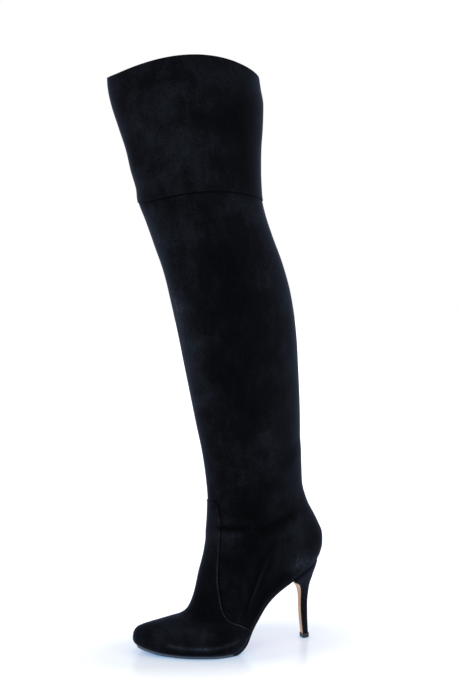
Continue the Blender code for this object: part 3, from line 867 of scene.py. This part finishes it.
@dataclass
class Upper:
    """The suede foot and leg: a one-piece leg, and over it the vamp with its narrow tongue."""

    shell: Shell
    wall: float = 0.0018
    skive: float = 0.0010
    lap: float = 0.0090
    # how far below the knee seam the rows of its shade begin
    knee_zone: float = 0.0030
    # millimetres up from the tongue's end, where rows lie close together
    tongue_rows: tuple = (-3, -2, -1.3, -0.8, -0.4, -0.15, 0, 0.12, 0.3, 0.6, 1.1, 2)
    # ring numbers of the foot and how many rows there are up to each
    foot_rows: tuple = ((3, 12), (11, 40))
    instep_rows: int = 63
    leg_rows: int = 150
    lining_rows: int = 90
    # millimetres below the knee seam, tone: the shade under the lap
    knee_tones: tuple = ((2.0, -0.1), (1.3, -0.5), (0.8, -1.0), (0.3, -1.3))
    stitch_inset: float = 0.0021
    stitch_lift: float = 0.00054
    # first ring of the stitches, and points of their line up each side and across the tongue's end
    stitch_start: float = 0.35
    side_points: int = 160
    end_points: int = 24
    # share of the tongue's width that the line runs straight across
    end_share: float = 0.82

    def foot_rings(self) -> np.ndarray:
        """Ring numbers of the outside from the feather line to just past the tongue's end."""
        last, top = self.shell.last, self.shell.tongue_ring()
        fine = [last.ring_off(top, step * MM, 0.0) for step in self.tongue_rows]
        start, spans = 0, [[0.0]]
        for end, count in (*self.foot_rows, (fine[0], self.instep_rows)):
            spans.append(np.linspace(start, end, count + 1)[1:])
            start = end
        return np.concatenate([*spans[:-1], spans[-1][:-1], fine])

    def build(self, suede: Material, lining: Material) -> Object:
        """Builds the hollow upper with suede outside and lining inside."""
        shell, last = self.shell, self.shell.last
        foot = self.foot_rings()
        rows = [shell.row(ring, relief=1.0, vamp=True) for ring in foot]
        leg = np.linspace(foot[-1], last.ring_off(last.knee_ring, -self.knee_zone), self.leg_rows)[1:]
        rows += [shell.row(ring, relief=1.0) for ring in leg]
        for below, tone in self.knee_tones:
            rows.append(shell.row(last.ring_off(last.knee_ring, -below * MM), relief=0.8, tone=tone))
        top = last.ring_off(last.knee_ring, self.lap)
        rows += [
            # painted shade on the row under the panel's lower edge
            shell.row(last.ring_off(last.knee_ring, 0.0005), relief=0.5, tone=-1.3),
            shell.row(last.ring_off(last.knee_ring, 0.0014), -self.skive),
            shell.row(top, -self.skive),
        ]
        outside = len(rows)
        rows.append(shell.row(top, -self.wall))
        rows += [shell.row(ring, -self.wall) for ring in np.linspace(last.knee_ring, 0, self.lining_rows)]
        piece = make_piece("upper_suede", shell.mesh(rows, outside), [suede, lining])
        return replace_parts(piece, "upper")

    def sew(self, thread: Thread, material: Material) -> Object:
        """Sews down the vamp's edge, up one side of the tongue, across its end and down the other."""
        shell, last = self.shell, self.shell.last
        rings = np.linspace(self.stitch_start, shell.tongue_ring() - 0.02, self.side_points)
        end_ring = last.ring_off(shell.tongue_ring(), -self.stitch_inset, 0.0)
        rings = rings[rings < last.ring_off(end_ring, -0.0024, 0.0)]
        seams = (shell.seam_at(ring) for ring in rings)
        side = np.array([seam - self.stitch_inset / MM * per_mm for seam, per_mm in seams])
        across = np.linspace(side[-1] * self.end_share, -side[-1] * self.end_share, self.end_points)
        line_rings = np.concatenate([rings, np.full(self.end_points, end_ring), rings[::-1]])
        line_angles = np.concatenate([side, across, -side[::-1]])
        points = last.surface(line_rings, line_angles)
        normals = last.outward(line_rings, line_angles)
        mesh = bmesh.new()
        thread.sew(mesh, points + normals * self.stitch_lift + np.array(shell.origin), normals)
        return make_piece("vamp_stitches", mesh, [material])


@dataclass
class ThighPanel:
    """The tube above the knee, which laps over the leg and ends in an arched collar."""

    shell: Shell
    wall: float = 0.0016
    step: float = 0.0009
    gap: float = 0.0003
    # millimetres up from the lower edge, how far the row stands out: the stitches lie in a dip
    hem_rows: tuple = (
        (0.7, 0.00016),
        (1.3, 0.00008),
        (1.8, -0.00010),
        (2.2, -0.00016),
        (2.6, -0.00010),
        (3.2, 0.0),
    )
    body_rows: int = 84
    lining_rows: int = 40
    # how far up from the edges the stitches run, and how far out
    stitch_rows: tuple = ((0.0022, -0.00016), (-0.0034, 0.0))

    def build(self, suede: Material, lining: Material) -> Object:
        """Builds the hollow panel with suede outside and lining inside."""
        shell, last = self.shell, self.shell.last
        low, high = last.knee_ring, last.last_ring
        below_top = last.ring_off(high, -0.0008)
        # the two lowest rows carry painted shade along the panel's lower edge
        rows = [
            shell.row(last.ring_off(low, 0.00015), self.step * 0.55, tone=-1.2),
            shell.row(last.ring_off(low, 0.0003), self.step * 0.9, 0.3, tone=-0.6),
        ]
        for inset, lift in self.hem_rows:
            rows.append(shell.row(last.ring_off(low, inset * MM), self.step + lift, 0.6))
        hem_top = last.ring_off(low, self.hem_rows[-1][0] * MM)
        body = np.linspace(hem_top, below_top, self.body_rows)[1:]
        rows += [shell.row(ring, self.step, 1.0) for ring in body]
        inside = self.step - self.wall
        rows += [
            shell.row(last.ring_off(high, -0.0002), self.step - 0.0002, 0.5),
            shell.row(high, self.step - 0.0006),
            shell.row(high, inside + 0.0006),
        ]
        outside = len(rows)
        rows.append(shell.row(last.ring_off(high, -0.0002), inside + 0.0002))
        inner = np.linspace(below_top, last.ring_off(low, 0.0022), self.lining_rows)
        rows += [shell.row(ring, inside) for ring in inner]
        rows.append(shell.row(low, self.gap))
        piece = make_piece("thigh_suede", shell.mesh(rows, outside), [suede, lining])
        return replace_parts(piece, "thigh_panel")

    def sew(self, thread: Thread, material: Material) -> Object:
        """Sews round the panel's lower edge and round the collar."""
        shell, last = self.shell, self.shell.last
        mesh = bmesh.new()
        angles = np.linspace(0, 2 * np.pi, 400)
        for ring, (inset, lift) in zip((last.knee_ring, last.last_ring), self.stitch_rows):
            rings = np.full(angles.shape, last.ring_off(ring, inset))
            normals = last.outward(rings, angles)
            points = last.surface(rings, angles) + normals * (self.step + lift)
            thread.sew(mesh, points + np.array(shell.origin), normals)
        return make_piece("thigh_stitches", mesh, [material])


@dataclass
class Heel:
    """The slim stiletto block in its suede cover, and the wearing piece under it."""

    last: Last
    origin: Vector
    reach: float = 0.0250
    neck_width: float = 0.0102
    lift_height: float = 0.0050
    tip_depth: float = 0.0094
    tip_setback: float = 0.0012
    tip_width: float = 0.0102
    # height of a row of the wearing piece, how much it draws in: its edges are just broken
    tip_rows: tuple = ((0.0, 0.0004), (0.0004, 0.0), (0.0047, 0.0), (0.0050, 0.0003))
    gap: float = 0.0003
    tuck: float = 0.0004
    tuck_inset: float = 0.0002
    # how much narrower the breast's corners are than the neck, and over what share of its depth
    corner_cut: float = 0.08
    corner_depth: float = 0.3
    neck_roundness: float = 2.4
    seat_roundness: float = 6
    steps: int = 25
    rows_out: int = 60
    # row of the block below, tone: painted shade along its top, where it meets the upper, and a little
    # lighter lower down
    tones: tuple = ((0.0, -1.1), (1.5, -1.2), (2.6, -0.6), (4.0, 0.2), (9.0, 0.3))
    # front, front's rise, back, back's rise, flare
    rows: tuple = (
        (1.000, 0.753, 0.860, 0.990, 1.000),
        (0.760, 0.712, 0.800, 0.915, 0.830),
        (0.545, 0.683, 0.690, 0.855, 0.610),
        (0.376, 0.650, 0.570, 0.795, 0.390),
        (0.256, 0.600, 0.470, 0.730, 0.200),
        (0.204, 0.530, 0.325, 0.645, 0.070),
        (0.194, 0.450, 0.235, 0.540, 0.015),
        (0.192, 0.370, 0.175, 0.400, 0.000),
        (0.136, 0.200, 0.185, 0.210, -0.005),
        (0.068, 0.053, 0.225, 0.053, -0.010),
    )

    def shares(self) -> np.ndarray:
        """Shares of the way from the breast to the back, close together at both ends."""
        return (1 - np.cos(np.linspace(0, np.pi, self.steps))) / 2

    def sizes(self, level: float) -> tuple:
        """A row of the table at a level, which may lie between two rows."""
        numbers = np.arange(len(self.rows))
        return tuple(float(smooth_table(numbers, column, level)) for column in zip(*self.rows))

    def half_width(self, flare: float, x: np.ndarray, along: np.ndarray) -> np.ndarray:
        """Half width of the block at a share of the way from its breast to its back."""
        ring = self.last.ring_at(0.0)
        share = np.clip((x - ring.front_x) / (ring.back_x - ring.front_x), 0, 1)
        seat = abs(self.last.surface(0.0, np.arccos(1 - 2 * share))[..., 1])
        corner = 1 - self.corner_cut + self.corner_cut * np.minimum(1.0, along / self.corner_depth)
        neck = self.neck_width / 2 * np.sqrt(np.maximum(0, 1 - along**self.neck_roundness)) * corner
        # next to the seat the block is as wide as the seat all the way back
        taper = np.sqrt(np.maximum(0.0, 1 - along**self.seat_roundness)) if flare < 0.999 else 1.0
        return flare * seat * taper + (1 - flare) * neck

    def ring(self, level: float) -> np.ndarray:
        """A D-shaped ring of the block: flat at the breast, round at the back."""
        front, front_rise, back, back_rise, flare = self.sizes(level)
        along = self.shares()
        start, end = -front * self.reach, back * self.last.heel_setback
        x = start + (end - start) * along
        z = self.last.heel_height * (front_rise + (back_rise - front_rise) * along)
        if level == 0:
            z = self.last.seat_height(x) + self.tuck
        tucked = self.tuck_inset * soft_step(0.6, 0.0, level)
        y = np.maximum(self.half_width(flare, x, along) - tucked, 0.0)
        return both_sides(np.stack([x, -y, z], axis=-1))

    def build(self, suede: Material) -> Object:
        """Builds the covered block."""
        levels = np.linspace(0, len(self.rows) - 1, self.rows_out)
        rows = np.array([self.ring(level) for level in levels])
        rows[-1, :, 2] = self.lift_height + self.gap
        # painted shade along the top of the cover, from the tones table
        tones = np.broadcast_to(smooth_table(*zip(*self.tones), levels)[:, None], rows.shape[:2])
        rows = np.dstack([rows + np.array(self.origin), tones])
        piece = make_piece("heel_cover", grid_over(rows), [suede], sharp=35.0)
        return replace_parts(piece, "heel")

    def build_lift(self, rubber: Material) -> Object:
        """Builds the wearing piece, with its edges just broken."""
        along = self.shares()
        rows = []
        for z, shrink in self.tip_rows:
            x = self.tip_setback + (self.tip_depth - 2 * shrink) * (along - 0.5)
            round_back = np.sqrt(np.maximum(0, 1 - along**self.neck_roundness))
            y = (self.tip_width / 2 - shrink) * round_back
            rows.append(both_sides(np.stack([x, -y, np.full_like(x, z)], axis=-1)))
        mesh = grid_over(np.array(rows) + np.array(self.origin))
        piece = make_piece("heel_tip", mesh, [rubber], sharp=30.0)
        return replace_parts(piece, "top_lift")


@dataclass
class Sole:
    """The thin leather sole, its breast cover on the heel, and the insole."""

    last: Last
    heel: Heel
    origin: Vector
    margin: float = 0.0010
    waist_thickness: float = 0.0022
    breast_thickness: float = 0.0012
    # share of the breast cover's thickness, inset from the heel's side
    breast_corners: tuple = (
        (0.0, 0.0035),
        (0.02, 0.0003),
        (0.10, 0.0),
        (0.55, 0.0),
        (0.88, 0.0002),
        (1.0, 0.0006),
        (1.0, 0.0020),
    )
    insole_thickness: float = 0.0025
    wall: float = 0.0018
    steps: int = 120
    # columns of the strip between which the leather is left undyed, under the foot and at the breast
    undyed: tuple = (6, 8)
    undyed_breast: tuple = (5, 9)
    waist_start: float = 0.45
    waist_end: float = 0.60

    def side_angles(self, end: float) -> np.ndarray:
        """Angles of the feather line from the toe back to a place, in metres from the heel tip."""
        ring = self.last.ring_at(0.0)
        share = (end - ring.front_x) / (ring.back_x - ring.front_x)
        stop = float(np.arccos(1 - 2 * share))
        return np.linspace(0, stop, self.steps)

    def strip(self, angles: np.ndarray, layers: list) -> np.ndarray:
        """Rows of a flat strip across the foot, one for each angle.

        Args:
            angles: where the rows stand on the feather line, on the outer side.
            layers: for each corner of the outer edge its margin and its depth below the seat.

        Returns:
            The rows, each a closed loop across the strip.
        """
        outer, inner = [], []
        for margin, depth in layers:
            wide = np.full(angles.shape, margin)
            deep = np.broadcast_to(depth, angles.shape)
            outer.append(self.last.below_seat(self.last.feather(angles, wide), deep))
            inner.append(self.last.below_seat(self.last.feather(2 * np.pi - angles, wide), deep))
        return np.stack(outer + inner[::-1], axis=1)

    def build(self, edge: Material, bottom: Material, wax_and_painted_reflection: Material) -> Object:
        """Builds the sole with a dyed edge, waxed round the forefoot with a painted bluish reflection in its
        colour, and a tan underside and breast.
        """
        angles = self.side_angles(-self.heel.reach)
        place = (self.last.surface(0.0, angles)[:, 0] - self.last.toe_x) / self.last.foot_length
        thin = smooth_table([0.0, self.waist_start, self.waist_end, 1.0], [0.0, 0.0, 1.0, 1.0], place)
        thick = self.last.sole_thickness + (self.waist_thickness - self.last.sole_thickness) * thin
        top, low = self.last.gap, self.last.gap + thick
        layers = [
            (self.margin - 0.0035, top),
            (self.margin - 0.0003, top),
            (self.margin, top + 0.0003),
            (self.margin, top + (low - top) * 0.55),
            (self.margin - 0.0002, low - 0.0004),
            (self.margin - 0.0007, low),
            (self.margin - 0.0035, low),
        ]
        rows = np.array([*self.strip(angles, layers), *self.breast_rows()]) + np.array(self.origin)
        mesh = grid_over(rows)
        # the forefoot's edge takes the wax with its painted reflection
        paint_between(mesh, rows[: np.count_nonzero(place < self.waist_start)], 2)
        paint_between(mesh, rows[: len(angles), slice(*self.undyed)], 1)
        paint_between(mesh, rows[len(angles) - 1 :, slice(*self.undyed_breast)], 1)
        piece = make_piece("sole_leather", mesh, [edge, bottom, wax_and_painted_reflection], sharp=40.0)
        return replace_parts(piece, "outsole")

    def breast_rows(self) -> list:
        """Rows of the tongue of sole leather that runs down the front of the heel."""
        rows = []
        levels = np.linspace(0.55, len(self.heel.rows) - 1, 64)
        fronts = np.array([self.heel.ring(level)[0] for level in levels])
        fronts[-1, 2] = self.heel.lift_height + self.last.gap
        runs = np.gradient(fronts, axis=0)
        for front, run in zip(fronts, runs):
            away = np.array([run[2], 0, -run[0]]) / np.hypot(run[0], run[2])
            half = abs(front[1]) - 0.0001
            near = front * [1, 0, 1] + away * self.last.gap
            outer = [
                near + away * self.breast_thickness * share - [0, half - min(inset, half * 0.6), 0]
                for share, inset in self.breast_corners
            ]
            rows.append(outer + [point * [1, -1, 1] for point in outer[::-1]])
        return rows

    def build_insole(self, lining: Material) -> Object:
        """Builds the board on which the foot stands, with its soft-edged sock lining."""
        ring = self.last.ring_at(0.0)
        angles = self.side_angles(float(ring.back_x) - 0.0001)
        inset = -(self.wall + self.last.gap)
        layers = [
            (inset - 0.0040, -self.insole_thickness),
            (inset - 0.0008, -self.insole_thickness),
            (inset, -self.insole_thickness + 0.0007),
            (inset, 0.0),
            (inset - 0.0040, 0.0),
        ]
        rows = self.strip(angles[4:-4], layers)
        mesh = grid_over(rows + np.array(self.origin))
        piece = make_piece("sock_lining", mesh, [lining], sharp=40.0)
        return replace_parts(piece, "insole")


@dataclass
class Studio:
    """A white sweep with big soft lights, and the camera where the photograph was taken."""

    heel_tip: Vector
    photo_height: int = 688
    focal_pixels: float = 1380.0
    sensor: float = 36.0
    aim_ahead: float = 0.0930
    distance: float = 1.5456
    height: float = 0.4608
    yaw: float = -20.0
    pitch: float = 4.31
    aim: tuple = (0, 0, 0.3)
    light_size: float = 1.2
    # name, place in metres, power in watts
    lights: tuple = (("key", (-1.6, -1.2, 1.5), 6.0), ("fill", (1.4, -1.6, 1.1), 3.0))

    def camera(self) -> Object:
        """Places the camera on the boot's outer side, a little towards its toe, looking slightly down."""
        data = bpy.data.cameras.new("camera")
        data.sensor_width = self.sensor
        data.lens = self.focal_pixels / self.photo_height * self.sensor
        camera = bpy.data.objects.new("camera", data)
        turn = np.radians(self.yaw)
        camera.location = (
            self.heel_tip.x - self.aim_ahead + self.distance * np.sin(turn),
            self.heel_tip.y - self.distance * np.cos(turn),
            self.height,
        )
        camera.rotation_euler = (np.radians(90 - self.pitch), 0, turn)
        bpy.context.scene.collection.objects.link(camera)
        bpy.context.scene.camera = camera
        return camera

    def soft_light(self, name: str, place: tuple, power: float) -> Object:
        """Hangs up a square soft box that faces the middle of the boot."""
        data = bpy.data.lights.new(name, "AREA")
        data.size = self.light_size
        data.energy = power
        light = bpy.data.objects.new(name, data)
        light.location = place
        facing = Vector(self.aim) - Vector(place)
        light.rotation_euler = facing.to_track_quat("-Z", "Y").to_euler()
        bpy.context.scene.collection.objects.link(light)
        return light

    def floor(self) -> Object:
        """Lays a pale, faintly glossy floor whose painted glow makes it fade into the white behind it."""
        mesh = bmesh.new()
        bmesh.ops.create_grid(mesh, x_segments=1, y_segments=1, size=6.0)
        data = bpy.data.meshes.new("floor")
        mesh.to_mesh(data)
        mesh.free()
        floor = bpy.data.objects.new("floor", data)
        data.materials.append(FloorSheet().material())
        bpy.context.scene.collection.objects.link(floor)
        return floor

    def world(self) -> None:
        """Fills the studio with plain white light."""
        world = bpy.data.worlds.new("studio")
        world.use_nodes = True
        back = world.node_tree.nodes["Background"]
        back.inputs[0].default_value = (1.0, 1.0, 1.0, 1)
        back.inputs[1].default_value = 1.0
        bpy.context.scene.world = world

    def build(self) -> None:
        """Builds the whole studio."""
        bpy.context.scene.view_settings.view_transform = "Standard"
        self.world()
        self.floor()
        for light in self.lights:
            self.soft_light(*light)
        self.camera()


# lines down the ridge above the arch, which is smoothed and shaded
ARCH_RIDGE = ((-54, 118), (-67, 92), (-73, 75), (-79, 53), (-86, 32))
ARCH_SHADE = ((-50, 118), (-59, 96), (-70, 73), (-79, 53), (-86, 36))

CREASES = (
    Crease(((-117, 141.5), (-108, 141.0), (-96, 139.4), (-84, 139.2)), 1.5, 1.6),
    Crease(((-92, 138.6), (-70, 140.2), (-48, 144.6), (-30, 150.0)), 5.0, 2.0),
    Crease(((-120, 124), (-106, 121), (-90, 122), (-70, 127)), 4.0, 0.7),
    Crease(((-112, 177), (-98, 174), (-79, 171), (-55, 176)), 3.2, 0.7),
    Crease(((-104, 160), (-84, 157), (-60, 160), (-40, 168)), 6.0, 0.5),
    Crease(ARCH_RIDGE, 3.6, -0.6),
    Crease(((-120, 122), (-104, 126), (-84, 128), (-50, 134)), 4.0, 0.8, Side.INNER),
    Crease(((-112, 146), (-90, 150), (-60, 152), (-36, 158)), 5.0, 0.8, Side.INNER),
    Crease(((-100, 172), (-78, 174), (-54, 178)), 4.0, 0.6, Side.INNER),
    Crease(ARCH_RIDGE, 3.6, -0.6, Side.INNER),
)

# Soft marks along lines drawn from the side. Some are brush marks in the nap; those noted below are painted
# light and painted shade.
NAP_AND_LIGHT_MARKS = (
    NapAndLightMark(((-199, 583), (-181, 566), (-159, 545)), 19, 0.4),
    NapAndLightMark(((-192, 524), (-180, 528)), 9, 0.35),
    # painted light along the front edge of the thigh
    NapAndLightMark(((-239, 616), (-232, 596)), 9, 0.9),
    NapAndLightMark(((-181, 620), (-164, 621)), 8, 0.3),
    # painted shade toward the back of the thigh
    NapAndLightMark(((-94, 600), (-86, 566), (-87, 530)), 18, -0.8),
    NapAndLightMark(((-118, 590), (-108, 576)), 14, -0.5),
    NapAndLightMark(((-212, 560), (-206, 546)), 7, -0.5),
    # painted light along the front edge of the calf
    NapAndLightMark(((-192, 484), (-180, 452), (-166, 406), (-155, 362), (-146, 325)), 13, 0.5),
    NapAndLightMark(((-160, 478), (-154, 470)), 13, 0.45),
    # weaker painted light just inside the calf's front edge
    NapAndLightMark(((-154, 392), (-144, 348), (-132, 285)), 9, 0.15),
    # painted shade down the middle of the calf
    NapAndLightMark(((-112, 450), (-106, 410), (-100, 340), (-86, 260)), 26, -0.45),
    NapAndLightMark(((-122, 296), (-135, 278)), 7, 0.45),
    NapAndLightMark(((-66, 244), (-64, 234)), 10, 0.5),
    # painted shade in the hollow beside the ankle
    NapAndLightMark(((-79, 171), (-73, 131), (-88, 100)), 22, -0.6),
    # painted shade along the deep ankle crease
    NapAndLightMark(((-60, 139), (-31, 150)), 9, -0.9),
    # painted shade in the fine crease at the front of the ankle
    NapAndLightMark(((-110, 140), (-98, 140.5), (-80, 141.5)), 2.4, -0.8),
    NapAndLightMark(((-113, 131), (-100, 132), (-92, 133)), 4.5, 0.5),
    NapAndLightMark(((-110, 148), (-96, 150)), 4.0, 0.25),
    # painted shade over the light streak on the ridge above the arch, here and in the next mark
    NapAndLightMark(((-52, 118), (-61, 104), (-70, 82), (-78, 58), (-84, 36)), 8, -0.7),
    NapAndLightMark(ARCH_SHADE, 3.0, -0.8),
    # painted shade along the joint of the heel cover and the upper
    NapAndLightMark(((-24, 72), (-13, 80), (-2, 88), (11, 96)), 2.5, -1.0),
    # painted shade over the light band in the waist
    NapAndLightMark(((-38, 80), (-55, 67), (-68, 50), (-76, 30)), 10, -0.8),
    NapAndLightMark(((-104, 118), (-98, 112)), 9, 0.3),
    # painted light on the round of the counter, here and in the next mark
    NapAndLightMark(((-18, 128), (-20, 108), (-8, 98)), 15, 0.45),
    NapAndLightMark(((-34, 90), (-16, 94), (0, 98)), 6, 0.2),
    NapAndLightMark(((-135, 70), (-122, 40)), 20, -0.5),
    NapAndLightMark(((-137, 26), (-131, 26)), 5, 0.55),
    # painted light from the floor along the forefoot's lower edge
    NapAndLightMark(((-172, 13.5), (-153, 12), (-129, 12), (-100, 16.5)), 2.2, 0.9),
    NapAndLightMark(((-190, 30), (-176, 24), (-160, 26)), 12, 0.3),
    NapAndLightMark(((-170, 560), (-150, 600)), 24, 0.5, Side.INNER),
    NapAndLightMark(((-120, 470), (-96, 380)), 26, -0.4, Side.INNER),
    NapAndLightMark(((-60, 300), (-52, 250)), 16, 0.5, Side.INNER),
    NapAndLightMark(((-24, 120), (-14, 100)), 14, 0.4, Side.INNER),
    # painted shade over the light streak above the arch, on the inner side
    NapAndLightMark(ARCH_SHADE, 4.0, -1.0, Side.INNER),
    NapAndLightMark(((-150, 22), (-128, 20)), 8, 0.4, Side.INNER),
)


def main() -> None:
    """Builds the boot's pieces in order, then the studio."""
    logging.basicConfig(level=logging.INFO, format="%(name)s %(message)s")
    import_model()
    low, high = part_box("top_lift")
    origin = Vector(((low.x + high.x) / 2 - Heel.tip_setback, (low.y + high.y) / 2, 0.0))
    last = Last()
    shell = Shell(last, origin, creases=CREASES, nap_and_light_marks=NAP_AND_LIGHT_MARKS)
    suede = Suede().material()
    lining = SmoothLeather("lining_leather", "#1A1819", "#232021", 0.55, specular=0.3).material()
    tan = SmoothLeather("sole_leather_tan", "#B98F6E", "#D3AC8A", 0.42, 0.15, 0.8, 18.0).material()
    edge = SmoothLeather("edge_dye_black", "#08090B", "#0E1013", 0.5, specular=0.15).material()
    # waxed edge round the forefoot: its bluish grey colour is a painted reflection of the floor, under a
    # real glossy coat
    wax_and_painted_reflection = SmoothLeather("edge_wax_painted_reflection", "#27343F", "#31414D", 0.35, 0.6).material()
    rubber = SmoothLeather("hard_rubber", "#0A0A0B", "#121213", 0.5).material()
    thread = SmoothLeather("black_thread", "#0B0C10", "#14161B", 0.8, grain_mm=0.3, specular=0.06)
    thread, needle = thread.material(), Thread()
    upper, panel, heel = Upper(shell), ThighPanel(shell), Heel(last, origin)
    sole = Sole(last, heel, origin)
    upper.build(suede, lining)
    upper.sew(needle, thread)
    panel.build(suede, lining)
    panel.sew(needle, thread)
    sole.build(edge, tan, wax_and_painted_reflection)
    sole.build_insole(lining)
    heel.build(suede)
    heel.build_lift(rubber)
    Studio(origin).build()


if __name__ == "__main__":
    main()
